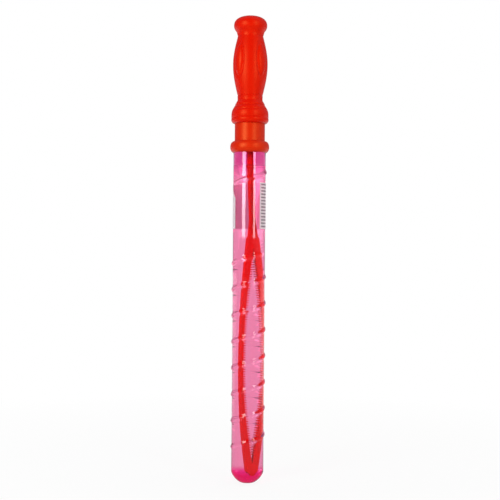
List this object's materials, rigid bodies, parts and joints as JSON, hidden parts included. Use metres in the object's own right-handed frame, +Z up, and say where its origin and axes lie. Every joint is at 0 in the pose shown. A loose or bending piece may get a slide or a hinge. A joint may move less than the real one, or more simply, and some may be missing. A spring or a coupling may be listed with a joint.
{
  "type": "bubble wand",
  "caption": "Slim tube of bubble solution with a spiral ridge and a wrapped label, closed by a screw cap whose lobed handle carries a long toothed bubble loop.",
  "frame": {"origin": "middle of the flat foot that the tube stands on", "axes": "+Z up along the tube, towards the handle; the front with the label's gap faces -Y, +X is to its right"},
  "size_m": [0.0306, 0.0306, 0.3646],
  "materials": {
    "tube_plastic": "clear pink, glossy",
    "label_film": "satin film",
    "liner_foam": "matte foam",
    "red_plastic": "glossy",
    "wand_plastic": "glossy"
  },
  "bodies": {
    "bottle": {"tube": "tube_plastic", "label": "label_film"},
    "seal": {"liner": "liner_foam"},
    "handle": {"cap": "red_plastic", "grip": "red_plastic", "wand": "wand_plastic"}
  },
  "joints": [
    {"name": "pull_out", "type": "slide", "parent": "bottle", "child": "seal", "axis": [0, 0, 1], "range_m": [0, 0.3]},
    {"name": "unscrew", "type": "hinge", "parent": "seal", "child": "handle", "pos_m": [0, 0, 0.2802], "axis": [0, 0, 1], "range_deg": [0, 540]}
  ]
}
